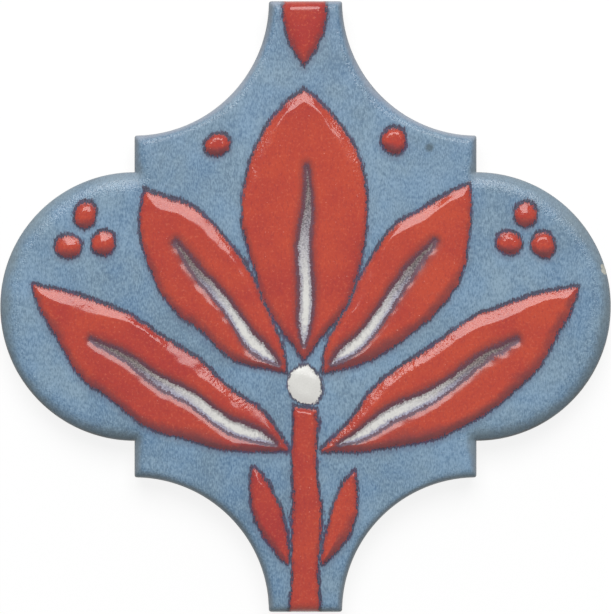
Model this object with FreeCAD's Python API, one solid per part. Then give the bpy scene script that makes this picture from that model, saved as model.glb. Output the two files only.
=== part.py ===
"""Arabesque wall tile with a raised-glaze palmette, one fired piece, in millimetres.

The tile lies on its back with its glazed face up. X runs along the two round lobes, Y along the two
flat-ended necks, and the origin is in the middle of the back. Each bay beside a neck has the radius of a
lobe, so that rows of the same tile, set half a tile apart, close up without gaps.
"""

import FreeCAD
import Part
import math
import os
from FreeCAD import Vector

# Outline
lobe_radius = 33.0  # round lobes left and right, and the bays that take a neighbour's lobes
neck_width = 18.0  # flat end of the upper and the lower neck
step_height = 9.0  # straight shoulder between a lobe and a bay

# Section
tile_thickness = 10.0  # from the back to the plain part of the glazed face
edge_roll = 3.0  # radius of the rolled edge round the face
back_arris = 0.5  # small chamfer round the back

# Keying grooves that hold the adhesive on the back
groove_width = 5.0
groove_depth = 0.8
groove_pitch = 10.0  # a land lies in the middle of the back, and grooves on both sides of it
groove_margin = 8.0  # plain rim left all round the back

# Raised glaze
relief_height = 0.7  # of the coloured fields above the plain face
relief_lip = 0.2  # height of a field's steep foot
relief_run = 1.5  # width of the sloping shoulder between that foot and the top of the field
vein_depth = 0.6  # of the grooves in petals and leaves
vein_bank = 1.3  # width of a groove's sloping sides
line_gap = 1.4  # width of the painted line between two fields
edge_gap = 0.4  # between the rolled edge and a field that is cut off there
root_depth = 0.3  # how far a field reaches into the body, so that the two fuse

# Heart and stem
heart_radius = 4.2
heart_height = 0.45
heart_drop = 19.0  # of the heart below the tile's middle
stem_top_width = 4.8
stem_foot_width = 7.4

# Flower: one upright petal and two that lean out beside it
petal_drop = 22.4  # of the upright petal's tip below the upper neck's end
petal_half_width = 14.8
petal_belly = 0.58  # where a petal is widest, as a share of its length from the root
side_bearing = 62.0  # degrees from upright, of a side petal's root seen from the heart
side_tip_in = 2.8  # of a side petal's tip from the corner between lobe and shoulder
side_tip_drop = 3.8
side_inner_width = 7.8
side_outer_width = 12.2
side_belly = 0.55

# Leaves
leaf_drop = 16.0  # of a leaf's root below the heart
leaf_tip_in = 8.6  # of a leaf's tip from the end of its lobe
leaf_tip_rise = 5.2
leaf_inner_width = 6.6
leaf_corner_gap = 5.0  # from a leaf to the corner between lobe and shoulder below it
leaf_belly = 0.52
small_leaf_rise = 12.3  # of a small leaf's root above the lower neck's end
small_leaf_length = 23.8
small_leaf_lean = 20.0  # degrees from upright
small_leaf_half_width = 3.0
small_leaf_belly = 0.5

# Floor of the veins, from and to a share of the length of their petal or leaf
vein_start = 0.05
vein_end = 0.74
vein_half_width = 1.5
vein_belly = 0.2

# Bud and dots
bud_length = 28.0
bud_show = 16.5  # length of the bud that lies on the tile, below the upper neck's end
bud_half_width = 5.0
bud_belly = 0.5
dot_radius = 2.8
ring_radius = 5.0  # of the ring of dots in a lobe
ring_count = 3
ring_inset = 11.8  # of the ring's middle from the lobe's edge
ring_bearing = 34.0  # degrees from upright, of the ring seen from the lobe's middle
lone_dot_inset = 7.8  # of the dot beside the upright petal from the bay's edge
lone_dot_bearing = 210.0  # degrees from upright, of that dot seen from the bay's middle

shoulder = neck_width / 2 + lobe_radius
half_height = 2 * lobe_radius + step_height
face_level = tile_thickness
up = Vector(0, 0, 1)
across = Vector(1, 0, 0)


def outline(inset=0.0):
    """The tile's outline as a closed wire at height 0, moved inwards by inset."""
    bay_radius = lobe_radius + inset
    reach = math.sqrt(bay_radius**2 - inset**2)
    slant = Vector(1, 1, 0).normalize()
    neck = Vector(shoulder - reach, half_height - inset)
    bay_middle = Vector(shoulder, half_height) - slant * bay_radius
    ledge = Vector(shoulder - inset, half_height - reach)
    notch_above = Vector(shoulder - inset, lobe_radius)
    notch_below = Vector(shoulder, lobe_radius - inset)
    lobe_middle = Vector(shoulder, 0) + slant * (lobe_radius - inset)
    lobe_end = Vector(shoulder + lobe_radius - inset, 0)

    quarter = [
        Part.Arc(neck, bay_middle, ledge),
        Part.LineSegment(ledge, notch_above),
        Part.Arc(notch_below, lobe_middle, lobe_end),
    ]
    if inset > 0:
        notch_middle = Vector(shoulder, lobe_radius) - slant * inset
        quarter.append(Part.Arc(notch_above, notch_middle, notch_below))
    quarter = [curve.toShape() for curve in quarter]
    half = quarter + [edge.mirror(Vector(), Vector(0, 1, 0)) for edge in quarter]
    edges = half + [edge.mirror(Vector(), across) for edge in half]
    for level in (neck.y, -neck.y):
        edges.append(Part.LineSegment(Vector(-neck.x, level), Vector(neck.x, level)).toShape())
    return Part.Wire(Part.__sortEdges__(edges))


def slab(inset, bottom, top):
    """The outline, moved inwards by inset, as a solid between two heights."""
    face = Part.Face(outline(inset))
    face.translate(up * bottom)
    return face.extrude(up * (top - bottom))


def edges_at(solid, level):
    """The edges of a solid that lie flat at one height."""
    return [
        edge
        for edge in solid.Edges
        if abs(edge.BoundBox.ZMin - level) < 1e-6 and abs(edge.BoundBox.ZMax - level) < 1e-6
    ]


def body():
    """The pressed body: rolled edge round the face, chamfer and keying grooves on the back."""
    solid = slab(0, 0, tile_thickness)
    solid = solid.makeFillet(edge_roll, edges_at(solid, tile_thickness))
    solid = solid.makeChamfer(back_arris, edges_at(solid, 0))
    return solid.cut(grooves())


def grooves():
    """Straight keying grooves across the back, ending at an even distance from the edge."""
    half_run = half_height - groove_margin
    count = int((half_run - groove_pitch / 2) // groove_pitch) + 1
    length = 2 * (shoulder + lobe_radius)
    bars = []
    for number in range(count):
        middle = groove_pitch * (number + 0.5)
        for level in (middle, -middle):
            corner = Vector(-length / 2, level - groove_width / 2, -groove_depth)
            bars.append(Part.makeBox(length, groove_width, 2 * groove_depth, corner))
    return Part.makeCompound(bars).common(slab(groove_margin, -groove_depth, groove_depth))


def towards(lean):
    """The direction that leans by so many degrees from +Y towards +X."""
    angle = math.radians(lean)
    return Vector(math.sin(angle), math.cos(angle), 0)


def side_height(width, run, away):
    """How high a petal's side stands above its axis, away from its widest point by that distance."""
    radius = (run**2 + width**2) / (2 * abs(width))
    return width - math.copysign(radius - math.sqrt(radius**2 - away**2), width)


class Petal:
    """A pointed oval from root to tip, each side two arcs that join smoothly where it is widest."""

    def __init__(self, root, tip, left, right, belly):
        self.root = root
        self.axis = tip - root
        self.length = self.axis.Length
        self.axis.normalize()
        self.normal = up.cross(self.axis)
        self.left = left
        self.right = right
        self.belly = belly * self.length

    def place(self, station, height):
        """A point at that distance along the axis and to the left of it."""
        return self.root + self.axis * station + self.normal * height

    def height(self, width, station):
        run = self.belly if station < self.belly else self.length - self.belly
        return side_height(width, run, station - self.belly)

    def midline(self, station):
        """How far the middle of the petal lies to the left of its axis."""
        return (self.height(self.left, station) - self.height(self.right, station)) / 2

    def side(self, width, sense):
        """The arcs of one side, with sense 1 on the left and -1 on the right."""
        stations = (0, self.belly, self.length)
        arcs = []
        for start, end in zip(stations, stations[1:]):
            points = [self.place(s, sense * self.height(width, s)) for s in (start, (start + end) / 2, end)]
            arcs.append(Part.Arc(*points).toShape())
        return arcs

    def wire(self):
        return Part.Wire(Part.__sortEdges__(self.side(self.left, 1) + self.side(self.right, -1)))

    def face(self):
        return Part.Face(self.wire())

    def grown(self, by):
        """The same oval, by so much larger on every side."""
        length = self.length + 2 * by
        root = self.place(-by, 0)
        tip = self.place(self.length + by, 0)
        return Petal(root, tip, self.left + by, self.right + by, (self.belly + by) / length)

    def vein(self):
        """A slim petal along the midline, widest near the root."""
        stations = [share * self.length for share in (vein_start, vein_end)]
        ends = [self.midline(station) for station in stations]
        widest = stations[0] + vein_belly * (stations[1] - stations[0])
        chord = ends[0] + vein_belly * (ends[1] - ends[0])
        bow = self.midline(widest) - chord
        points = [self.place(station, end) for station, end in zip(stations, ends)]
        return Petal(*points, vein_half_width + bow, vein_half_width - bow, vein_belly)


def mirrored(shape):
    return shape.mirror(Vector(), across)


def disc(centre, radius):
    return Part.Face(Part.Wire(Part.makeCircle(radius, centre)))


def heart():
    return Vector(0, -heart_drop)


def lobe_corner(side):
    """The right-hand corner between lobe and shoulder, with side 1 above the lobe and -1 below it."""
    return Vector(shoulder, side * lobe_radius)


def flower_petals():
    """The upright petal and the right one of the two beside it."""
    reach = heart_radius + line_gap
    root = heart() + towards(0) * reach
    tip = Vector(0, half_height - petal_drop)
    upright = Petal(root, tip, petal_half_width, petal_half_width, petal_belly)
    root = heart() + towards(side_bearing) * reach
    tip = lobe_corner(1) - Vector(side_tip_in, side_tip_drop)
    return upright, Petal(root, tip, side_inner_width, side_outer_width, side_belly)


def stem_half_width(level):
    """Half the stem's width at that height on the tile."""
    share = (-heart_drop - level) / (half_height - heart_drop)
    return (stem_top_width + share * (stem_foot_width - stem_top_width)) / 2


def leaf_root(level):
    """A leaf's root on the right of the stem, a painted line away from it."""
    return Vector(stem_half_width(level) + line_gap, level)


def big_leaf():
    """The right-hand leaf, which reaches into the lobe and passes its lower corner at a set distance."""
    root = leaf_root(-heart_drop - leaf_drop)
    tip = Vector(shoulder + lobe_radius - leaf_tip_in, leaf_tip_rise)
    offset = (lobe_corner(-1) - root).cross((tip - root).normalize()).Length
    return Petal(root, tip, leaf_inner_width, offset - leaf_corner_gap, leaf_belly)


def small_leaf():
    root = leaf_root(small_leaf_rise - half_height)
    tip = root + towards(small_leaf_lean) * small_leaf_length
    return Petal(root, tip, small_leaf_half_width, small_leaf_half_width, small_leaf_belly)


def stem_face():
    """The stem, from a painted line below the heart to the lower neck's end."""
    top = -heart_drop - heart_radius - line_gap
    corners = [
        Vector(side * stem_half_width(level), level)
        for side, level in ((-1, top), (1, top), (1, -half_height), (-1, -half_height))
    ]
    return Part.Face(Part.makePolygon(corners + corners[:1]))


def bud_face():
    """A bud that hangs from the tile above and runs past the upper neck's end."""
    tip = Vector(0, half_height - bud_show)
    return Petal(tip + towards(0) * bud_length, tip, bud_half_width, bud_half_width, bud_belly).face()


def dot_faces():
    """A ring of dots in the right lobe, and a lone one beside the upright petal's tip."""
    middle = Vector(shoulder, 0) + towards(ring_bearing) * (lobe_radius - ring_inset)
    places = [middle + towards(360 / ring_count * number) * ring_radius for number in range(ring_count)]
    bay_middle = Vector(shoulder, half_height)
    places.append(bay_middle + towards(lone_dot_bearing) * (lobe_radius + lone_dot_inset))
    return [disc(place, dot_radius) for place in places]


def raised(face, height):
    """A solid that stands on the tile's face over a flat field, with a steep foot and a sloping shoulder.

    What would run onto the rolled edge is cut off just before it.
    """
    base = face_level - root_depth
    top = face_level + height
    field = face.translated(up * base)
    pad = field.extrude(up * (top - base))
    pad = pad.makeChamfer(height - relief_lip, relief_run, edges_at(pad, top))
    return pad.common(slab(edge_roll + edge_gap, base, top))


def veined(petal):
    """A raised petal with its vein sunk into it between sloping sides.

    The sides of the cutter run on to twice the vein's depth, clear of the top of the field.
    """
    floor = face_level + relief_height - vein_depth
    vein = petal.vein()
    sections = [
        vein.grown(share * vein_bank).wire().translated(up * (floor + share * vein_depth))
        for share in (0, 2)
    ]
    return raised(petal.face(), relief_height).cut(Part.makeLoft(sections, True, True))


def relief():
    """Every raised field of glaze, the left half a mirror image of the right."""
    upright, side = flower_petals()
    right_half = [veined(side), veined(big_leaf())]
    right_half += [raised(face, relief_height) for face in (small_leaf().face(), *dot_faces())]
    middle = [veined(upright), raised(disc(heart(), heart_radius), heart_height)]
    middle += [raised(face, relief_height) for face in (stem_face(), bud_face())]
    return middle + right_half + [mirrored(pad) for pad in right_half]


def main():
    tile = body().multiFuse(relief()).removeSplitter()
    os.makedirs("parts", exist_ok=True)
    tile.exportStep("parts/arabesque_tile.step")
    print("solids", len(tile.Solids), "valid", tile.isValid(), "faces", len(tile.Faces))
    print("volume in cubic centimetres", round(tile.Volume / 1000, 2))


main()
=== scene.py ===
import math

import bpy
import numpy as np
from mathutils.geometry import delaunay_2d_cdt
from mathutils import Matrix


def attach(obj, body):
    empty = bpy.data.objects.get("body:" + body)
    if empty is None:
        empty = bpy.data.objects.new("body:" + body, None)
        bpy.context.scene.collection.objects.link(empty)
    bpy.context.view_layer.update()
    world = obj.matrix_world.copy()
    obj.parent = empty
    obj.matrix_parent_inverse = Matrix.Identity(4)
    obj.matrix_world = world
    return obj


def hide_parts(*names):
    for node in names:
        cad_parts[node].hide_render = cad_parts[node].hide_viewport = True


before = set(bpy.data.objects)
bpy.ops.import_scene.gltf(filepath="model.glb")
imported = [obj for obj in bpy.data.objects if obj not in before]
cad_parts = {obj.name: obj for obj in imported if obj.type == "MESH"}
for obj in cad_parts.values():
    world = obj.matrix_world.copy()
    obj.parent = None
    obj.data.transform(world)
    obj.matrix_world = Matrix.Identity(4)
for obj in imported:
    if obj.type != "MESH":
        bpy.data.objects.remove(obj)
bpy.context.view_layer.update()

mm = 0.001

# Outline and section, in millimetres like all shapes below
lobe_radius = 33.0
neck_width = 18.0
step_height = 9.0
tile_thickness = 10.0
edge_roll = 3.0  # height of the rolled edge
lobe_roll = 4.3  # its width round the lobes
bay_roll = 2.3  # its width in the bays
roll_swell = 0.12  # share by which that width varies
back_arris = 0.5
corner_wear = 0.9  # distance from a corner within which the outline is worn
corner_blend = 0.8  # width over which the rolled edges of two sides run together
sharp = 0.001  # the same where a corner counts as unworn
shoulder = neck_width / 2 + lobe_radius
half_height = 2 * lobe_radius + step_height
wall_top = tile_thickness - edge_roll
bay_start = lobe_radius - 4.0  # distance from the X axis at which the roll starts to get narrower
bay_full = lobe_radius + 6.0

# Keying grooves on the back, as a worn die presses them
groove_width = 5.0
groove_depth = 0.8
groove_pitch = 10.0
groove_margin = 8.0
groove_slope = 0.5
groove_drift = 0.05  # of its edges
land_swell = 0.02  # height of the unevenness between the grooves

# Glaze and bare body on the wall
glaze_end_level = 3.2
glaze_end_limits = (1.3, 5.6)
drip_height = 0.8
small_drip_height = 0.22
coat_thickness = 0.18
coat_rise = (-0.3, 0.5)  # heights above its end between which the coat gets its thickness
bead_thickness = 0.1
bead_reach = 0.5
body_shrink = 0.2
body_unevenness = 0.05
bare_rise = (-0.2, 0.6)  # depths below the end of the glaze between which the body gets uneven
press_shift = 1.7  # how far the body's unevenness drifts along X and Y for each millimetre of height

# Small chip in the edge of the right lobe
chip_angle = 16.5
chip_inset = 0.5
chip_half_length = 1.6
chip_half_width = 0.85
chip_crumble = 0.2
chip_cut = 0.3
chip_slope = 0.6

# Raised glaze
relief_height = 0.7
shoulder_curve = 1.4  # 1 is a plain slope, 2 a round one
shoulder_spread = 0.34  # share by which the width of a shoulder varies
spread_limits = (0.55, 1.3)
dome_height = 0.1
dome_reach = 7.0
vein_depth = 0.6
vein_bank = 2.7
bank_blend = 0.1
line_gap = 1.4
line_depth = 0.07
line_offset = 0.6
line_reach = 0.4
wobble_reach = 0.4
ripple_reach = 0.06
swell_height = 0.035
peel_height = 0.012
calm_on_roll = 0.8  # share of the relief that is lost towards the outline

# Heart and stem
heart_radius = 4.2
heart_height = 0.45
heart_shoulder = 2.2
heart_drop = 19.0
stem_top_width = 4.8
stem_foot_width = 7.4

# Petals and leaves; a bearing or a lean is in degrees from upright
petal_drop = 22.4
petal_half_width = 14.8
petal_belly = 0.58
side_bearing = 62.0
side_tip_in = 2.8
side_tip_drop = 3.8
side_inner_width = 7.8
side_outer_width = 12.2
side_belly = 0.55
leaf_drop = 16.0
leaf_tip_in = 8.6
leaf_tip_rise = 5.2
leaf_inner_width = 6.6
leaf_outer_width = 13.85
leaf_belly = 0.52
small_leaf_rise = 12.3
small_leaf_length = 23.8
small_leaf_lean = 20.0
small_leaf_half_width = 3.0
small_leaf_belly = 0.5
vein_start = 0.05
vein_end = 0.74
vein_half_width = 1.5
vein_belly = 0.2

# Bud and dots
bud_length = 28.0
bud_show = 16.5
bud_half_width = 5.0
bud_belly = 0.5
dot_radius = 2.8
ring_radius = 5.0
ring_count = 3
ring_inset = 11.8
ring_bearing = 34.0
lone_dot_inset = 7.8
lone_dot_bearing = 210.0

# Mesh; the lattice is fine where a distance lies between two limits
ring_step = 0.45
ring_insets = (0, 0.05, 0.2, 0.45, 0.8, 1.25, 1.8, 2.4, 3.0, 3.5, 4.0, 4.5)
ring_margin = 0.3
fine_step = 0.34
coarse_every = 3
fine_at_pad = (-0.75, 3.7)
fine_at_vein = (-3.0, 0.8)
fine_at_heart = (-0.4, 2.5)
wall_levels = (6.4, 5.8, 5.2, 4.6, 4.0, 3.4, 2.8, 2.2, 1.6, 1.0)
back_step = 2.5
back_shift = 0.3
rim_margin = 2.0
land_margin = 0.5
floor_margin = 1.0
groove_slack = 0.01
groove_samples = 1200
groove_end_points = 11
probe = 0.2  # distance over which the direction of an edge is felt
far_off = 99.0
clear_of_end = 6.0  # the face counts as this far above the end of the glaze, the back as far below it
crease_angle = 35.0

# Places on the texture map
map_margin = 0.02
map_face = 0.68
map_back = 0.25
map_back_corner = (0.725, 0.02)
map_strip_length = 0.66
map_strip_height = 0.05
map_strip_bottom = 0.745
map_strip_pitch = 0.062

# Floor, soft box and surround, in metres and watts
floor_half = 6.0
floor_grey = 0.18
floor_glow = 0.84
soft_box_size = (1.4, 1.1)
soft_box_place = (0, 1.0, 1.5)
soft_box_power = 27.5
surround_light = 0.3
surround_white = 1.0

# Camera, in millimetres, and the photograph's frame, in pixels
image_height = 614
tile_pixels = 610.5  # height of the tile
camera_drop = 0.5  # pixels from the tile's middle to the image's
lens_length = 150
sensor_size = 36


def smooth(value, low, high):
    """0 below low, 1 above high, and a smooth rise between them."""
    t = np.clip((value - low) / (high - low), 0, 1)
    return t * t * (3 - 2 * t)


def between(value, limits):
    return (value > limits[0]) & (value < limits[1])


class Waves:
    """A smooth random field of unit variance: plane waves of about one wavelength in every direction."""

    def __init__(self, seed, wavelength, count=28):
        random = np.random.default_rng(seed)
        angle = random.uniform(0, 2 * np.pi, count)
        number = 2 * np.pi / wavelength * random.uniform(0.6, 1.6, count)
        self.number = np.stack((np.cos(angle), np.sin(angle))) * number
        self.phase = random.uniform(0, 2 * np.pi, count)
        self.scale = math.sqrt(2 / count)

    def __call__(self, points):
        return np.sin(points @ self.number + self.phase).sum(1) * self.scale


wobble = [Waves(seed, wavelength=26) for seed in (3, 4)]
ripple = [Waves(seed, wavelength=5) for seed in (5, 6)]
swell = Waves(7, wavelength=34)
peel = Waves(8, wavelength=6)
drip = Waves(9, wavelength=22)
small_drip = Waves(10, wavelength=8)
press = Waves(11, wavelength=7)
crumble = Waves(12, wavelength=1.4)
slump = Waves(13, wavelength=24)


# Outline

def arc(centre, radius, start, end, step):
    """Points along an arc from one angle to the other, in degrees, without the last."""
    count = max(1, round(abs(math.radians(end - start)) * radius / step))
    angles = np.radians(start + (end - start) * np.arange(count) / count)
    return np.array(centre) + radius * np.stack((np.cos(angles), np.sin(angles)), 1)


def line(start, end, step):
    """Points along a line, without the last."""
    start, end = np.array(start), np.array(end)
    count = max(1, round(np.linalg.norm(end - start) / step))
    return start + (np.arange(count) / count)[:, None] * (end - start)


def softened(loop):
    """A closed loop of points or directions, each mixed with its neighbours."""
    return (np.roll(loop, 1, 0) + 2 * loop + np.roll(loop, -1, 0)) / 4


def outline(inset, step):
    """The tile's outline, moved inwards, as a closed loop of points with slightly worn corners."""
    bay = lobe_radius + inset
    reach = math.sqrt(bay**2 - inset**2)
    lean = math.degrees(math.asin(inset / bay))
    side = shoulder - inset
    end = half_height - inset
    parts = [arc((shoulder, 0), lobe_radius - inset, 0, 90, step)]
    if inset:
        parts.append(arc((shoulder, lobe_radius), inset, 270, 180, step))
    parts += [
        line((side, lobe_radius), (side, half_height - reach), step),
        arc((shoulder, half_height), bay, 270 - lean, 180 + lean, step),
        line((shoulder - reach, end), (0, end), step),
    ]
    first = np.concatenate(parts)
    second = np.concatenate((first[:1] * 0 + (0, end), first[:0:-1] * (-1, 1)))
    loop = np.concatenate((first, second, -first, -second))
    corners = np.array([(side, half_height - reach), (shoulder - reach, end)])
    away = np.linalg.norm(np.abs(loop)[:, None] - corners, axis=2).min(1)
    share = np.clip(corner_wear - away, 0, 1)[:, None]
    for _ in range(2):
        loop = loop + share * (softened(loop) - loop)
    return loop


def outward(loop):
    """Unit normals of a closed loop that runs anticlockwise, turning gradually at its corners."""
    along = np.roll(loop, -1, 0) - np.roll(loop, 1, 0)
    normal = np.stack((along[:, 1], -along[:, 0]), 1)
    for _ in range(4):
        normal = softened(normal)
        normal /= np.linalg.norm(normal, axis=1)[:, None]
    return normal


def gap(points, x, y):
    return np.hypot(points[:, 0] - x, points[:, 1] - y)


def smooth_min(a, b, width):
    return np.minimum(a, b) - np.clip(width - np.abs(a - b), 0, None) ** 2 / (4 * width)


def inset_of(points, worn=sharp):
    """Distance of points in the tile from its outline, less near a corner that is worn round."""
    q = np.abs(points)
    x, y = q[:, 0], q[:, 1]
    left = x < shoulder
    low, high = lobe_radius, lobe_radius + step_height
    end = np.where(x < neck_width / 2, half_height - y, gap(q, neck_width / 2, half_height))
    bay_end = gap(q, shoulder, half_height - lobe_radius)
    bay = np.where(left, gap(q, shoulder, half_height) - lobe_radius, bay_end)
    wall_ends = np.minimum(gap(q, shoulder, low), gap(q, shoulder, high))
    wall = np.where((y > low) & (y < high), shoulder - x, wall_ends)
    lobe = np.where(left, gap(q, shoulder, lobe_radius), lobe_radius - gap(q, shoulder, 0))
    return np.minimum(smooth_min(smooth_min(bay, wall, worn), end, worn), lobe)


def inside_outline(points):
    q = np.abs(points)
    middle = (q[:, 0] < shoulder) & (q[:, 1] < half_height) & (gap(q, shoulder, half_height) > lobe_radius)
    return middle | (gap(q, shoulder, 0) < lobe_radius)


# Motif

def towards(lean):
    """The direction that leans by so many degrees from +Y towards +X."""
    return np.array((math.sin(math.radians(lean)), math.cos(math.radians(lean))))


class Petal:
    """A pointed oval from root to tip, each side two arcs that join smoothly where it is widest."""

    def __init__(self, root, tip, left, right, belly):
        self.root = np.array(root, float)
        axis = np.array(tip) - self.root
        self.length = np.linalg.norm(axis)
        self.axis = axis / self.length
        self.normal = np.array((-self.axis[1], self.axis[0]))
        self.sides = ((left, 1), (right, -1))
        self.belly = belly * self.length

    def local(self, points):
        """How far points lie along the axis and to the left of it."""
        away = points - self.root
        return away @ self.axis, away @ self.normal

    def radius(self, width, run):
        return (run**2 + width**2) / (2 * abs(width))

    def height(self, width, station):
        """How high a side stands above the axis."""
        run = np.where(station < self.belly, self.belly, self.length - self.belly)
        radius = self.radius(width, run)
        fall = radius - np.sqrt(np.clip(radius**2 - (station - self.belly) ** 2, 0, None))
        return width - math.copysign(1, width) * fall

    def gap_to_arc(self, place, width, sense, end, run):
        """Distance of points, given along and across the axis, from one of the four arcs."""
        radius = self.radius(width, run)
        centre = np.array((self.belly, sense * (width - math.copysign(radius, width))))
        ends = np.array(((end, 0), (self.belly, sense * width)))
        middle = ends.mean(0) - centre
        middle /= np.linalg.norm(middle)
        reach = (ends[0] - centre) @ middle / radius
        away = place - centre
        length = np.linalg.norm(away, axis=1)
        to_ends = np.linalg.norm(place[:, None] - ends, axis=2).min(1)
        return np.where(away @ middle > reach * length, abs(length - radius), to_ends)

    def inner(self, points):
        """Distance of points from the petal's sides, positive inside."""
        station, height = self.local(points)
        place = np.stack((station, height), 1)
        nearest = np.full(len(points), np.inf)
        inside = (station > 0) & (station < self.length)
        for width, sense in self.sides:
            inside &= sense * height < self.height(width, station)
            for end, run in ((0, self.belly), (self.length, self.length - self.belly)):
                nearest = np.minimum(nearest, self.gap_to_arc(place, width, sense, end, run))
        return np.where(inside, nearest, -nearest)

    def midline(self, station):
        """How far the middle of the petal lies to the left of its axis."""
        left, right = (self.height(width, station) for width, _ in self.sides)
        return float(left - right) / 2

    def vein(self):
        """A slim petal along the midline, widest near the root."""
        stations = np.array((vein_start, vein_end)) * self.length
        ends = [self.midline(station) for station in stations]
        widest = stations[0] + vein_belly * (stations[1] - stations[0])
        bow = self.midline(widest) - (ends[0] + vein_belly * (ends[1] - ends[0]))
        points = [self.root + self.axis * s + self.normal * h for s, h in zip(stations, ends)]
        return Petal(*points, vein_half_width + bow, vein_half_width - bow, vein_belly)


def stem_half_width(level):
    share = (-heart_drop - level) / (half_height - heart_drop)
    return (stem_top_width + share * (stem_foot_width - stem_top_width)) / 2


class Stem:
    """A slim upright wedge from below the heart to the lower neck's end."""

    def inner(self, points):
        top = -heart_drop - heart_radius - line_gap
        return np.minimum(stem_half_width(points[:, 1]) - np.abs(points[:, 0]), top - points[:, 1])


class Disc:
    def __init__(self, centre, radius):
        self.centre = centre
        self.radius = radius

    def inner(self, points):
        return self.radius - gap(points, *self.centre)


def beside_stem(level):
    """A root on the right of the stem, a painted line away from it."""
    return np.array((stem_half_width(level) + line_gap, level))


heart_middle = np.array((0, -heart_drop))
heart = Disc(heart_middle, heart_radius)
heart_reach = heart_radius + line_gap

upright_root = heart_middle + (0, heart_reach)
upright = Petal(upright_root, (0, half_height - petal_drop), petal_half_width, petal_half_width, petal_belly)

side_root = heart_middle + towards(side_bearing) * heart_reach
side_tip = (shoulder - side_tip_in, lobe_radius - side_tip_drop)
side_petal = Petal(side_root, side_tip, side_inner_width, side_outer_width, side_belly)

leaf_root = beside_stem(-heart_drop - leaf_drop)
leaf_tip = (shoulder + lobe_radius - leaf_tip_in, leaf_tip_rise)
leaf = Petal(leaf_root, leaf_tip, leaf_inner_width, leaf_outer_width, leaf_belly)

small_root = beside_stem(small_leaf_rise - half_height)
small_tip = small_root + towards(small_leaf_lean) * small_leaf_length
small_leaf = Petal(small_root, small_tip, small_leaf_half_width, small_leaf_half_width, small_leaf_belly)

bud_tip = np.array((0, half_height - bud_show))
bud = Petal(bud_tip + (0, bud_length), bud_tip, bud_half_width, bud_half_width, bud_belly)

ring_middle = (shoulder, 0) + towards(ring_bearing) * (lobe_radius - ring_inset)
dot_places = [ring_middle + towards(360 / ring_count * number) * ring_radius for number in range(ring_count)]
dot_places.append((shoulder, half_height) + towards(lone_dot_bearing) * (lobe_radius + lone_dot_inset))

# Each red field with the width of its shoulder; those on one side have a twin on the other
fields = [(upright, 2.8), (side_petal, 2.6), (leaf, 2.8), (small_leaf, 2.1), (bud, 2.2), (Stem(), 1.9)]
fields += [(Disc(place, dot_radius), 2.0) for place in dot_places]
tone_seed = 40
veins = [upright.vein(), side_petal.vein(), leaf.vein()]


def hand_drawn(points):
    """Points moved as an unsteady hand would, then folded onto the right half of the motif."""
    moves = [wobble_reach * far(points) + ripple_reach * near(points) for far, near in zip(wobble, ripple)]
    moved = points + np.stack(moves, 1)
    return np.stack((np.abs(moved[:, 0]), moved[:, 1]), 1)


def rounded(share):
    """A slope from 0 to 1 that eases off towards its top."""
    return 1 - (1 - np.clip(share, 0, 1)) ** shoulder_curve


def paint(points):
    """The distances, positive inside, that the glaze's colours and relief follow."""
    drawn = hand_drawn(points)
    pad = np.full(len(points), -far_off)
    lift = np.zeros(len(points))
    tone = np.zeros(len(points))
    right = points[:, 0] > 0
    spread = np.clip(1 + shoulder_spread * slump(points), *spread_limits)
    for number, (field, width) in enumerate(fields):
        inner = field.inner(drawn)
        tones = np.random.default_rng(tone_seed + number).uniform(-1, 1, 2)
        tone = np.where(inner > pad, np.where(right, *tones), tone)
        pad = np.maximum(pad, inner)
        lift = np.maximum(lift, relief_height * rounded(inner / (width * spread)))
    vein = np.full(len(points), -far_off)
    along = np.zeros(len(points))
    for slim in veins:
        inner = slim.inner(drawn)
        along = np.where(inner > vein, slim.local(drawn)[0] / slim.length, along)
        vein = np.maximum(vein, inner)
    return {"pad": pad, "lift": lift, "tone": tone, "vein": vein, "along": along, "heart": heart.inner(drawn)}


def lower_sides(points):
    """For fields, veins and tile: 1 where the nearest edge is a lower one, -1 where it is an upper one."""
    above, below = points + (0, probe), points - (0, probe)
    over, under = paint(above), paint(below)
    rises = {"lower": over["pad"] - under["pad"], "low_bank": over["vein"] - under["vein"]}
    rises["low_rim"] = inset_of(above, corner_blend) - inset_of(below, corner_blend)
    return {name: np.clip(rise / (2 * probe), -1, 1) for name, rise in rises.items()}


def in_bay(points):
    """0 beside the lobes and 1 beside the bays and necks."""
    return smooth(np.abs(points[:, 1]), bay_start, bay_full)


def over_the_roll(points):
    """How far points are from the outline towards the end of the rolled edge, which is 1."""
    width = lobe_roll + (bay_roll - lobe_roll) * in_bay(points)
    return inset_of(points, corner_blend) / (width * (1 + roll_swell * swell(points)))


def face_height(points, painted):
    """Height of the glazed face: rolled edge, glaze pools with rounded shoulders, sunk veins."""
    roll = np.clip(1 - over_the_roll(points), 0, 1)
    level = tile_thickness - edge_roll * (1 - np.sqrt(1 - roll**2))
    dome = dome_height * (1 - np.exp(-np.clip(painted["pad"], 0, None) / dome_reach))
    sunk = vein_depth * (1 - rounded(-painted["vein"] / vein_bank))
    pool = smooth_min(painted["lift"], relief_height - sunk, bank_blend) + dome
    pool = np.where(painted["pad"] > 0, np.clip(pool, 0, None), 0)
    white = heart_height * rounded(painted["heart"] / heart_shoulder)
    scored = -line_depth * np.exp(-(((painted["pad"] + line_offset) / line_reach) ** 2))
    uneven = swell_height * swell(points) + peel_height * peel(points)
    return level + (1 - calm_on_roll * roll) * (np.maximum(pool, white) + scored + uneven)


# Mesh

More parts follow.
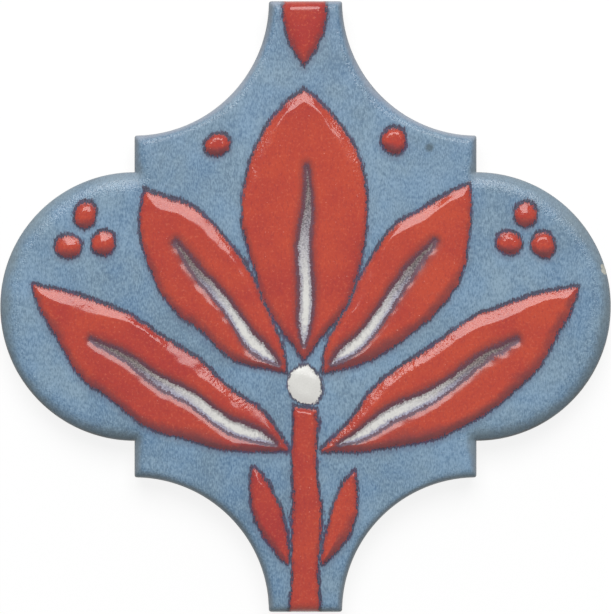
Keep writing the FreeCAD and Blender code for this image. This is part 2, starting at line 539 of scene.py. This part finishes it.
def lattice():
    """Points of a hexagonal lattice over the face, close together where the relief is and wide elsewhere."""
    flatness = math.sqrt(0.75)
    rows = int(half_height / (fine_step * flatness))
    columns = int(half_height / fine_step)
    levels, stations = np.arange(-rows, rows + 1), np.arange(-columns, columns + 1)
    row, column = np.meshgrid(levels, stations, indexing="ij")
    x = (column + 0.5 * (row % 2)) * fine_step
    points = np.stack((x, row * fine_step * flatness), 2).reshape(-1, 2)
    wide = ((row % coarse_every == 0) & (column % coarse_every == 0)).ravel()
    inside = inside_outline(points)
    points, wide = points[inside], wide[inside]
    keep = inset_of(points) > ring_insets[-1] + ring_margin
    points, wide = points[keep], wide[keep]
    painted = paint(points)
    near = between(painted["pad"], fine_at_pad)
    near |= (painted["pad"] > 0) & between(painted["vein"], fine_at_vein)
    near |= between(painted["heart"], fine_at_heart)
    return points[near | wide]


def triangulate(points, loop_count, edges=()):
    """Triangles over points whose first ones are the closed outer loop, as rows of three indices."""
    made = delaunay_2d_cdt(points.tolist(), list(edges), [list(range(loop_count))], 1, 1e-7)
    faces, sources = made[2:4]
    index = np.array([source[0] for source in sources])
    return index[np.array(faces)]


def chip_depth(points):
    """How far points lie inside the small chip, from 1 in its middle."""
    away = points - (shoulder, 0)
    along = (np.arctan2(away[:, 1], away[:, 0]) - math.radians(chip_angle)) * lobe_radius
    across = np.linalg.norm(away, axis=1) - (lobe_radius - chip_inset)
    return 1 - np.hypot(along / chip_half_length, across / chip_half_width) + chip_crumble * crumble(points)


def build_face(count):
    """Points of the glazed face, with so many in its outer loop first, and their heights."""
    points = np.concatenate((*(outline(inset, ring_step) for inset in ring_insets), lattice()))
    height = face_height(points, paint(points))
    height[:count] = wall_top
    return points, height - chip_cut * smooth(chip_depth(points), 0, chip_slope)


def build_wall(outer):
    """Rings down the wall, with their heights and how far they lie above the end of the glaze.

    The glaze ends in an uneven bead some way down, on a slightly smaller pressed body.
    """
    count = len(outer)
    normal = outward(outer)
    drips = drip_height * drip(outer) + small_drip_height * small_drip(outer)
    glaze_end = np.clip(glaze_end_level + drips, *glaze_end_limits)
    rows = [(level, 0) for level in (*wall_levels, back_arris)] + [(0, back_arris)]
    places, heights, glaze = [], [], []
    for level, narrower in rows:
        above = level - glaze_end
        bead = bead_thickness * np.exp(-(((above - bead_reach) / bead_reach) ** 2))
        coat = coat_thickness * smooth(above, *coat_rise) + bead
        rough = body_unevenness * press(outer + level * press_shift) * smooth(-above, *bare_rise)
        proud = coat - body_shrink + rough * (narrower == 0) - narrower
        places.append(outer + normal * proud[:, None])
        heights.append(np.full(count, float(level)))
        glaze.append(above)
    return places, heights, glaze


def groove_loop(middle, slope):
    """The edge of a keying groove, made narrower by the slope of its sides, as a closed loop."""
    half = groove_width / 2 - slope
    limit = half_height - groove_margin - slope - groove_slack
    across = np.linspace(0, shoulder + lobe_radius, groove_samples)
    xs = []
    ys = np.linspace(max(middle - half, -limit), min(middle + half, limit), groove_end_points)
    for y in ys:
        row = np.stack((across, np.full_like(across, y)), 1)
        deep = inside_outline(row) & (inset_of(row) > groove_margin + slope)
        xs.append(across[deep].max())
    right = np.stack((xs, ys), 1)
    left = right[::-1] * (-1, 1)
    upper, lower = line(right[-1], left[0], back_step), line(left[-1], right[0], back_step)
    loop = np.concatenate((right[:-1], upper, left[:-1], lower))
    return loop + groove_drift * np.stack((press(loop), press(loop[:, ::-1])), 1)


def back_lattice():
    """Points of the slightly uneven lands and groove floors, with their heights."""
    steps = np.arange(-half_height, half_height, back_step) + back_shift
    points = np.stack(np.meshgrid(steps, steps), 2).reshape(-1, 2)
    points = points[inside_outline(points)]
    inset = inset_of(points)
    from_groove = np.abs(np.abs(points[:, 1]) % groove_pitch - groove_pitch / 2)
    half = groove_width / 2
    floor = (inset > groove_margin + floor_margin) & (from_groove < half - floor_margin)
    beside = (inset < groove_margin - land_margin) | (from_groove > half + land_margin)
    land = (inset > rim_margin) & beside
    level = np.where(floor, groove_depth, 0) + land_swell * np.clip(1 + press(points), 0, None)
    return points[floor | land], level[floor | land]


def build_back(first):
    """Points of the back inside its rim, their heights, and the edges of the grooves, numbered from first."""
    places, levels, edges = [], [], []
    count = int((half_height - groove_margin - groove_pitch / 2) // groove_pitch) + 1
    middles = [sense * groove_pitch * (number + 0.5) for number in range(count) for sense in (1, -1)]
    for middle in middles:
        for slope, level in ((0, 0), (groove_slope, groove_depth)):
            loop = groove_loop(middle, slope)
            number = np.arange(len(loop))
            edges += np.stack((first + number, first + (number + 1) % len(loop)), 1).tolist()
            first += len(loop)
            places.append(loop)
            levels.append(np.full(len(loop), level))
    flat_places, flat_levels = back_lattice()
    return np.concatenate((*places, flat_places)), np.concatenate((*levels, flat_levels)), edges


def texture_map(plan, face, back, ring_heights, count):
    """Map places of all face corners: the face large, the wall as four strips above it, the back small."""
    square = (plan + half_height + 0.5) / (2 * half_height + 1)
    face_map = map_margin + map_face * square
    back_map = map_back_corner + map_back * square
    column = map_strip_length / (count // 4)
    strip, place = np.divmod(np.arange(count), count // 4)
    left = np.stack((map_margin + column * place, map_strip_bottom + map_strip_pitch * strip), 1)
    right = left + (column, 0)
    down = np.array((tile_thickness, *ring_heights)) / tile_thickness * map_strip_height
    wall_map = [
        np.stack((left + (0, low), right + (0, low), right + (0, high), left + (0, high)), 1).reshape(-1, 2)
        for high, low in zip(down, down[1:])
    ]
    return np.concatenate((face_map[face].reshape(-1, 2), *wall_map, back_map[back].reshape(-1, 2)))


def build_tile():
    outer = outline(0, ring_step)
    count = len(outer)
    top, height = build_face(count)
    start = len(top)
    rings, ring_levels, glaze = build_wall(outer)
    back_points, back_levels, edges = build_back(count)

    column = np.arange(count)
    following = (column + 1) % count
    ring_starts = [0] + [start + number * count for number in range(len(rings))]
    wall = np.concatenate([
        np.stack((lower + column, lower + following, upper + following, upper + column), 1)
        for upper, lower in zip(ring_starts, ring_starts[1:])
    ])
    face = triangulate(top, count)
    back = triangulate(np.concatenate((rings[-1], back_points)), count, edges)[:, ::-1] + ring_starts[-1]
    plan = np.concatenate((top, *rings, back_points))
    level = np.concatenate((height, *ring_levels, back_levels))
    mesh = bpy.data.meshes.new("arabesque_tile_glazed")
    vertices = np.column_stack((plan, level)) * mm
    mesh.from_pydata(vertices.tolist(), [], face.tolist() + wall.tolist() + back.tolist())
    mesh.shade_smooth()
    mesh.set_sharp_from_angle(angle=math.radians(crease_angle))

    below_roll = wall_top - level[start:]
    painted = paint(plan)
    del painted["lift"]
    painted["chip"] = chip_depth(plan)
    painted["chip"][start:] -= below_roll
    painted["rim"] = np.concatenate((lobe_roll * over_the_roll(top), below_roll))
    painted["rim"][:count] = 0
    painted["bay"] = in_bay(plan)
    on_face, on_back = np.full(start, clear_of_end), np.full(len(back_points), -clear_of_end)
    painted["glaze"] = np.concatenate((on_face, *glaze, on_back))
    painted.update(lower_sides(plan))
    for name in painted:
        values = mesh.attributes.new(name, "FLOAT", "POINT")
        values.data.foreach_set("value", painted[name].astype(np.float32))

    ring_heights = [levels[0] for levels in ring_levels]
    layer = mesh.uv_layers.new(name="OFBake")
    corners = texture_map(plan, face, back, ring_heights, count)
    layer.uv.foreach_set("vector", corners.astype(np.float32).ravel())
    mesh.validate()
    tile = bpy.data.objects.new("arabesque_tile_glazed", mesh)
    bpy.context.scene.collection.objects.link(tile)
    return tile


# Material

def srgb(red, green, blue):
    """An 8-bit display colour as linear red, green, blue, alpha."""
    shares = (red / 255, green / 255, blue / 255)
    linear = [c / 12.92 if c <= 0.04045 else ((c + 0.055) / 1.055) ** 2.4 for c in shares]
    return (*linear, 1)


# Colours in plain light, save the painted shade and highlights named as such; a pair is the two ends of a
# mottle
ground_blue = srgb(74, 108, 138), srgb(134, 164, 188)
ground_tint = srgb(140, 158, 163), srgb(104, 141, 178)
ground_blot = srgb(68, 90, 114)
ground_grain = srgb(174, 195, 208)
speck_dark = srgb(58, 78, 88)
pool_red = srgb(174, 40, 34), srgb(198, 66, 36)
pool_fleck = srgb(212, 96, 66)
pool_streak = srgb(156, 34, 34)
pool_painted_glint = srgb(234, 160, 146)
pool_shadow = srgb(92, 40, 52)
pool_thin = srgb(204, 96, 74)
clean_white = srgb(216, 215, 210), srgb(236, 235, 231)
soiled_white = srgb(78, 70, 92), srgb(184, 180, 192)
soiled_violet = srgb(70, 66, 120), srgb(160, 162, 206)
soiled_olive = srgb(96, 86, 70), srgb(200, 192, 166)
charcoal = srgb(50, 40, 42), srgb(148, 132, 126)
line_navy = srgb(20, 22, 40), srgb(84, 82, 110)
line_purple = srgb(76, 48, 88)
line_plum = srgb(52, 30, 42), srgb(106, 72, 92)
painted_shade_round_pool = srgb(78, 92, 116)
painted_shade_by_vein = srgb(112, 42, 46)
film_on_lobes = srgb(142, 152, 154)
painted_highlight_in_bays = srgb(186, 188, 198)
painted_shade_on_lower_roll = srgb(84, 92, 88)
worn_and_shaded_edge = srgb(68, 70, 66)
bead_dark = srgb(78, 88, 98)
body_clay = srgb(196, 184, 166), srgb(222, 213, 198)
body_blot = srgb(172, 154, 132)
chip_clay = srgb(202, 203, 192)

# Speck, fine relief and gloss
speck_place = (30.3, 38.9, tile_thickness)
bump_height = 0.014
refraction = 1.5
rough_ground = 0.42
rough_pool = 0.13
rough_line = 0.6
rough_streak = 0.5
rough_heart = 0.18
rough_body = 0.88


class Nodes:
    """A material under construction; its methods add nodes and return their outputs."""

    def __init__(self, name):
        self.material = bpy.data.materials.new(name)
        self.material.use_nodes = True
        self.tree = self.material.node_tree
        self.tree.nodes.clear()
        coordinates = self.node("ShaderNodeTexCoord").outputs["Object"]
        scaled = self.node("ShaderNodeVectorMath", operation="SCALE")
        self.feed(scaled.inputs[0], coordinates)
        scaled.inputs["Scale"].default_value = 1 / mm
        self.place = scaled.outputs[0]

    def node(self, kind, **settings):
        made = self.tree.nodes.new(kind)
        for name, value in settings.items():
            setattr(made, name, value)
        return made

    def feed(self, socket, value):
        if isinstance(value, bpy.types.NodeSocket):
            self.tree.links.new(value, socket)
        else:
            socket.default_value = value

    def value(self, name):
        return self.node("ShaderNodeAttribute", attribute_name=name).outputs["Fac"]

    def math(self, operation, *values):
        made = self.node("ShaderNodeMath", operation=operation)
        for socket, value in zip(made.inputs, values):
            self.feed(socket, value)
        return made.outputs[0]

    def product(self, *values):
        total = values[0]
        for value in values[1:]:
            total = self.math("MULTIPLY", total, value)
        return total

    def weigh(self, total, *terms):
        """A first value plus others, each times its weight."""
        for value, weight in terms:
            total = self.math("ADD", total, self.product(value, weight))
        return total

    def rest(self, share):
        return self.math("SUBTRACT", 1.0, share)

    def both_ways(self, value):
        """The positive part of a value, and the negative part as a positive number."""
        turned = self.math("MULTIPLY", value, -1.0)
        return self.math("MAXIMUM", value, 0.0), self.math("MAXIMUM", turned, 0.0)

    def step(self, value, low, high):
        """0 below low, 1 above high; the other way round if low is the higher one."""
        made = self.node("ShaderNodeMapRange", interpolation_type="SMOOTHSTEP")
        turned = low > high
        self.feed(made.inputs["Value"], value)
        made.inputs["From Min"].default_value = high if turned else low
        made.inputs["From Max"].default_value = low if turned else high
        made.inputs["To Min"].default_value = 1 if turned else 0
        made.inputs["To Max"].default_value = 0 if turned else 1
        return made.outputs["Result"]

    def colour(self, share, first, second):
        made = self.node("ShaderNodeMix", data_type="RGBA")
        for number, value in ((0, share), (6, first), (7, second)):
            self.feed(made.inputs[number], value)
        return made.outputs[2]

    def number(self, share, first, second):
        made = self.node("ShaderNodeMix", data_type="FLOAT")
        for number, value in ((0, share), (2, first), (3, second)):
            self.feed(made.inputs[number], value)
        return made.outputs[0]

    def gap_to(self, point):
        """Distance from a point of the tile, in millimetres."""
        made = self.node("ShaderNodeVectorMath", operation="DISTANCE")
        self.feed(made.inputs[0], self.place)
        made.inputs[1].default_value = point
        return made.outputs["Value"]

    def noise(self, size, detail=2.0, stretch=(1, 1, 1)):
        """Noise from about -1 to 1 with features of that size in millimetres."""
        vector = self.place
        if stretch != (1, 1, 1):
            scaled = self.node("ShaderNodeVectorMath", operation="MULTIPLY")
            self.feed(scaled.inputs[0], vector)
            scaled.inputs[1].default_value = stretch
            vector = scaled.outputs[0]
        made = self.node("ShaderNodeTexNoise")
        self.feed(made.inputs["Vector"], vector)
        made.inputs["Scale"].default_value = 1 / size
        made.inputs["Detail"].default_value = detail
        return self.math("MULTIPLY_ADD", made.outputs[0], 2.0, -1.0)


class Glaze(Nodes):
    """The tile's one material: blue, red and white glaze with painted lines, on a pale body."""

    def __init__(self):
        super().__init__("glazed_ceramic")
        self.pad, self.tone = self.value("pad"), self.value("tone")
        self.vein, self.along = self.value("vein"), self.value("along")
        self.rim, self.bay = self.value("rim"), self.value("bay")
        self.glaze, self.chip = self.value("glaze"), self.value("chip")
        self.lower, self.upper = self.both_ways(self.value("lower"))
        self.low_bank, self.high_bank = self.both_ways(self.value("low_bank"))
        self.low_edge = self.step(self.value("low_rim"), -0.9, 0.5)
        self.grain = self.noise(0.32, 2)
        self.grit = self.noise(0.9, 3)
        self.streaks = self.noise(0.32, 2.5, stretch=(1, 0.4, 1))
        self.spikes = self.noise(0.36, 2, stretch=(1, 0.25, 1))
        self.cloud = self.noise(9, 3)
        self.haze = self.noise(30, 2)

        # Distances from the drawn edges, made jagged
        jagged = self.weigh(
            self.product(self.grain, 0.4), (self.spikes, 0.85), (self.grit, 0.2), (self.noise(5, 1), 0.25)
        )
        self.from_pad = self.math("ADD", self.pad, jagged)
        self.from_heart = self.math("ADD", self.value("heart"), jagged)
        self.from_vein = self.weigh(self.vein, (self.grain, 0.5), (self.spikes, 0.4), (self.grit, 0.3))
        self.in_pad = self.step(self.from_pad, -0.2, 0.1)
        self.in_ground = self.rest(self.in_pad)
        self.chipped = self.step(self.weigh(self.chip, (self.grain, 0.3)), 0.05, 0.3)
        coated = self.step(self.weigh(self.glaze, (self.grit, 0.25)), -0.1, 0.15)
        self.covered = self.product(coated, self.rest(self.chipped))
        rise, fall = self.step(self.rim, 1.2, 2.2), self.step(self.rim, 5.4, 3.8)
        self.crest = self.product(rise, fall, self.in_ground)

    def mottle(self, pair, centre, *terms):
        """A colour between the two of a pair, by a centre plus noises with their weights."""
        return self.colour(self.weigh(centre, *terms), *pair)

    def ground(self):
        """Blue ground: satin, mottled, with a fine upright grain and one dark speck."""
        grades = (self.streaks, 1.4), (self.grit, 0.55), (self.cloud, 0.4), (self.haze, 0.5)
        colour = self.mottle(ground_blue, 0.5, *grades)
        colour = self.colour(0.2, colour, self.mottle(ground_tint, 0.5, (self.noise(8, 3), 1.8)))
        blots = self.step(self.noise(0.75, 1), 0.35, 0.65)
        colour = self.colour(self.product(blots, 0.45), colour, ground_blot)
        colour = self.colour(self.product(self.step(self.grain, 0.3, 0.6), 0.5), colour, ground_grain)
        from_speck = self.weigh(self.gap_to(speck_place), (self.grain, 0.6))
        return self.colour(self.product(self.step(from_speck, 1.5, 0.5), 0.8), colour, speck_dark)

    def pool(self):
        """Red pools: mottled, with tiny pale painted glints, and browner painted shade towards their edge,
        most of all the lower one.
        """
        grades = (self.cloud, 0.9), (self.haze, 0.5), (self.tone, 0.3), (self.grit, 0.4)
        colour = self.mottle(pool_red, 0.5, *grades)
        colour = self.colour(self.product(self.step(self.noise(0.6, 2), 0.05, 0.5), 0.55), colour, pool_fleck)
        colour = self.colour(self.product(self.step(self.streaks, 0.0, 0.45), 0.45), colour, pool_streak)
        # Painted glints: sparse pale pink specks that stand in for highlights on the wet red glaze.
        painted_glints = self.step(self.noise(0.4, 0), 0.68, 0.76)
        colour = self.colour(self.product(painted_glints, 0.7), colour, pool_painted_glint)
        wide = self.weigh(2.0, (self.step(self.noise(20, 1), 0.0, 0.35), 2.5))
        reach = self.weigh(0.8, (self.lower, wide))
        depth = self.math("DIVIDE", self.weigh(self.pad, (self.grit, 0.4), (self.spikes, 0.5)), reach)
        shadow = self.product(self.step(depth, 1.0, 0.0), self.math("MULTIPLY_ADD", self.lower, 0.45, 0.4))
        return self.colour(shadow, colour, pool_shadow)

    def white(self):
        return self.mottle(clean_white, 0.4, (self.grain, 0.5))

    def streak(self):
        """White streaks: clean near the root, dirty towards the tip and the sides."""
        soiled = self.mottle(soiled_white, 0.5, (self.grain, 1.6))
        banks = (self.low_bank, 0.6, soiled_violet), (self.high_bank, 0.4, soiled_olive)
        for bank, weight, pair in banks:
            hue = self.mottle(pair, 0.5, (self.grain, 1.0))
            soiled = self.colour(self.product(bank, weight), soiled, hue)
        inwards = self.weigh(self.vein, (self.grit, 0.5), (self.spikes, 0.4))
        at_sides = self.product(self.step(inwards, 1.1, 0.3), 0.8)
        at_tip = self.product(self.step(self.weigh(self.along, (self.grit, 0.15)), 0.25, 0.7), 0.9)
        colour = self.colour(self.math("MAXIMUM", at_sides, at_tip), self.white(), soiled)
        burnt = self.product(self.step(self.weigh(self.along, (self.grit, 0.1)), 0.5, 0.85), 0.9)
        return self.colour(burnt, colour, self.mottle(charcoal, 0.4, (self.grain, 1.4)))

    def drawing(self):
        """Ground, pools and streaks with painted lines between them, spiky along an upper edge, with painted
        shade round the pools and beside the streaks.
        """
        navy = self.mottle(line_navy, 0.35, (self.grain, 1.3))
        navy = self.colour(self.product(self.step(self.noise(4, 2), -0.1, 0.4), 0.35), navy, line_purple)
        # Painted shade on the ground round each raised pool, strongest below its lower edge.
        shade_round_pool = self.product(self.step(self.from_pad, -2.4, -0.8), self.weigh(0.15, (self.lower, 0.4)))
        colour = self.colour(shade_round_pool, self.ground(), painted_shade_round_pool)
        firm = self.weigh(1.1, (self.noise(7, 2), 0.6))
        pad_line = self.step(self.weigh(self.from_pad, (self.upper, 0.4)), -0.9, -0.45)
        colour = self.colour(self.product(pad_line, firm), colour, navy)
        colour = self.colour(self.in_pad, colour, self.pool())

        # Painted shade on the red beside a sunk streak, strongest on its upper bank.
        shade_by_vein = self.product(self.step(self.from_vein, -2.8, -0.6), self.weigh(0.55, (self.low_bank, -0.25)))
        colour = self.colour(self.product(self.in_pad, shade_by_vein), colour, painted_shade_by_vein)
        plum = self.mottle(line_plum, 0.4, (self.grain, 1.0))
        plum = self.colour(self.product(self.low_bank, 0.7), plum, navy)
        broad, narrow = self.step(self.from_vein, -1.5, -0.35), self.step(self.from_vein, -1.0, -0.5)
        vein_line = self.number(self.low_bank, broad, narrow)
        colour = self.colour(self.product(self.in_pad, vein_line, 0.9), colour, plum)
        in_vein = self.product(self.in_pad, self.step(self.from_vein, -0.1, 0.25))
        colour = self.colour(in_vein, colour, self.streak())
        colour = self.colour(self.step(self.from_heart, -1.0, -0.3), colour, navy)
        return self.colour(self.step(self.from_heart, -0.2, 0.2), colour, self.white())

    def over_edge(self, colour):
        """The glaze draws thin over the rolled edge, grey on the ground and orange on the red, with painted
        shade along the lower edges and a painted highlight along the upper edges of the bays.
        """
        upper_edge = self.rest(self.low_edge)
        # Thin grey glaze on the rolled edge, with painted shade where the edge faces down and a painted
        # highlight along the upper edges of the bays.
        thin_glaze_with_painted_light = self.colour(self.bay, film_on_lobes, painted_highlight_in_bays)
        thin_glaze_with_painted_light = self.colour(self.low_edge, thin_glaze_with_painted_light, painted_shade_on_lower_roll)
        film_share = self.weigh(0.48, (self.low_edge, 0.1), (self.product(self.bay, upper_edge), 0.05))
        film_place = self.weigh(self.rim, (self.grit, 0.6), (self.noise(14, 2), 1.2))
        film_share = self.product(self.step(film_place, 3.4, 0.7), self.in_ground, film_share)
        colour = self.colour(film_share, colour, thin_glaze_with_painted_light)
        thin = self.step(self.weigh(self.rim, (self.grain, 1.0)), 1.8, 0.4)
        colour = self.colour(self.product(thin, self.in_pad, 0.5), colour, pool_thin)
        # Dark at the very edge: wear in patches, with painted shade that is strongest along the lower edges.
        worn = self.step(self.weigh(self.rim, (self.grit, 0.3), (self.noise(9, 2), 0.6)), 0.55, 0.05)
        wear_and_shade_share = self.weigh(0.2, (self.low_edge, 0.55), (self.noise(12, 2), 0.5))
        worn = self.product(worn, wear_and_shade_share, self.math("MULTIPLY_ADD", self.in_ground, 0.6, 0.4))
        return self.colour(worn, colour, worn_and_shaded_edge)

    def over_wall(self, colour):
        """The glaze ends on the wall in a dark bead and bares the pale body, as the chip does."""
        body = self.mottle(body_clay, 0.5, (self.grain, 0.5), (self.cloud, 0.6))
        body = self.colour(self.product(self.step(self.noise(2.2, 2), 0.3, 0.6), 0.4), body, body_blot)
        body = self.colour(self.chipped, body, chip_clay)
        colour = self.colour(self.product(self.step(self.glaze, 1.5, 0.2), 0.55), colour, bead_dark)
        return self.colour(self.covered, body, colour)

    def roughness(self):
        """Wet on the red and white, satin on the blue, dry on the lines and the body."""
        satin = self.weigh(rough_ground, (self.grit, 0.1), (self.crest, -0.15))
        rough = self.number(self.step(self.from_pad, -0.3, 0.5), satin, rough_pool)
        pad_line = self.product(self.step(self.from_pad, -1.0, -0.5), self.step(self.from_pad, 0.35, -0.1))
        rough = self.number(pad_line, rough, rough_line)
        vein_line = self.product(self.in_pad, self.step(self.from_vein, -0.9, -0.5))
        rough = self.number(vein_line, rough, rough_streak)
        rough = self.number(self.step(self.from_heart, 0.0, 0.5), rough, rough_heart)
        return self.number(self.covered, rough_body, rough)

    def relief(self):
        """Fine relief: a grainy ground and lines, a slightly uneven wet glaze, a granular body."""
        wet = self.product(self.step(self.from_pad, 0.2, 0.9), self.step(self.from_vein, -0.1, -0.5))
        grainy = self.weigh(self.product(self.grain, 0.6), (self.streaks, 0.6))
        granular = self.weigh(self.product(self.grain, 1.2), (self.noise(1.6, 3), 2.0))
        near_edge = self.product(self.in_pad, self.step(self.from_pad, 2.2, 1.2))
        pitted = self.product(near_edge, self.step(self.noise(14, 1), -0.15, 0.1), self.noise(0.8, 1))
        sparkle = self.product(self.crest, self.noise(0.45, 1))
        return self.weigh(
            self.product(self.rest(wet), grainy), (self.rest(self.covered), granular),
            (pitted, 4.0), (sparkle, 4.5), (self.noise(2.5, 1), 0.3),
        )

    def finish(self):
        bump = self.node("ShaderNodeBump")
        bump.inputs["Strength"].default_value = 1.0
        bump.inputs["Distance"].default_value = bump_height * mm
        self.feed(bump.inputs["Height"], self.relief())
        surface = self.node("ShaderNodeBsdfPrincipled")
        self.feed(surface.inputs["Base Color"], self.over_wall(self.over_edge(self.drawing())))
        self.feed(surface.inputs["Roughness"], self.roughness())
        self.feed(surface.inputs["Normal"], bump.outputs["Normal"])
        surface.inputs["IOR"].default_value = refraction
        output = self.node("ShaderNodeOutputMaterial")
        self.feed(output.inputs["Surface"], surface.outputs["BSDF"])
        return self.material


# Stage

def bright_to_eye(tree):
    """1 for rays from the camera and for reflected and refracted ones, 0 for those that carry light."""
    path = tree.nodes.new("ShaderNodeLightPath")
    total = path.outputs["Is Camera Ray"]
    for name in ("Is Glossy Ray", "Is Transmission Ray"):
        larger = tree.nodes.new("ShaderNodeMath")
        larger.operation = "MAXIMUM"
        tree.links.new(total, larger.inputs[0])
        tree.links.new(path.outputs[name], larger.inputs[1])
        total = larger.outputs[0]
    return total


def floor_material():
    material = bpy.data.materials.new("floor")
    material.use_nodes = True
    tree = material.node_tree
    tree.nodes.clear()
    matt = tree.nodes.new("ShaderNodeBsdfDiffuse")
    matt.inputs["Color"].default_value = (floor_grey, floor_grey, floor_grey, 1)
    glow = tree.nodes.new("ShaderNodeEmission")
    scaled = tree.nodes.new("ShaderNodeMath")
    scaled.operation = "MULTIPLY"
    tree.links.new(bright_to_eye(tree), scaled.inputs[0])
    scaled.inputs[1].default_value = floor_glow
    tree.links.new(scaled.outputs[0], glow.inputs["Strength"])
    both = tree.nodes.new("ShaderNodeAddShader")
    tree.links.new(matt.outputs[0], both.inputs[0])
    tree.links.new(glow.outputs[0], both.inputs[1])
    output = tree.nodes.new("ShaderNodeOutputMaterial")
    tree.links.new(both.outputs[0], output.inputs["Surface"])
    return material


def build_floor():
    mesh = bpy.data.meshes.new("floor")
    signs = ((-1, -1), (1, -1), (1, 1), (-1, 1))
    mesh.from_pydata([(x * floor_half, y * floor_half, 0) for x, y in signs], [], [(0, 1, 2, 3)])
    mesh.materials.append(floor_material())
    floor = bpy.data.objects.new("floor", mesh)
    bpy.context.scene.collection.objects.link(floor)


def build_light():
    """One soft box beyond the top of the tile, and an even white surround."""
    lamp = bpy.data.lights.new("soft_box", "AREA")
    lamp.shape = "RECTANGLE"
    lamp.size, lamp.size_y = soft_box_size
    lamp.energy = soft_box_power
    box = bpy.data.objects.new("soft_box", lamp)
    box.location = soft_box_place
    box.rotation_euler = (-math.atan2(soft_box_place[1], soft_box_place[2]), 0, 0)
    box.visible_camera = False
    bpy.context.scene.collection.objects.link(box)

    world = bpy.data.worlds.new("surround")
    world.use_nodes = True
    tree = world.node_tree
    background = tree.nodes["Background"]
    background.inputs["Color"].default_value = (1, 1, 1, 1)
    strength = tree.nodes.new("ShaderNodeMix")
    strength.data_type = "FLOAT"
    tree.links.new(bright_to_eye(tree), strength.inputs[0])
    strength.inputs[2].default_value = surround_light
    strength.inputs[3].default_value = surround_white
    tree.links.new(strength.outputs[0], background.inputs["Strength"])
    bpy.context.scene.world = world


def build_camera():
    """Straight above the tile, as far off as fills the photograph's frame."""
    lens = bpy.data.cameras.new("camera")
    lens.lens = lens_length
    lens.sensor_width = sensor_size
    pixel = 2 * half_height / tile_pixels * mm
    distance = image_height * pixel * lens_length / sensor_size
    camera = bpy.data.objects.new("camera", lens)
    camera.location = (0, -camera_drop * pixel, wall_top * mm + distance)
    bpy.context.scene.collection.objects.link(camera)
    bpy.context.scene.camera = camera


tile = build_tile()
tile.data.materials.append(Glaze().finish())
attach(tile, "root")
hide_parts("arabesque_tile")
build_floor()
build_light()
build_camera()
bpy.context.scene.view_settings.view_transform = "Standard"
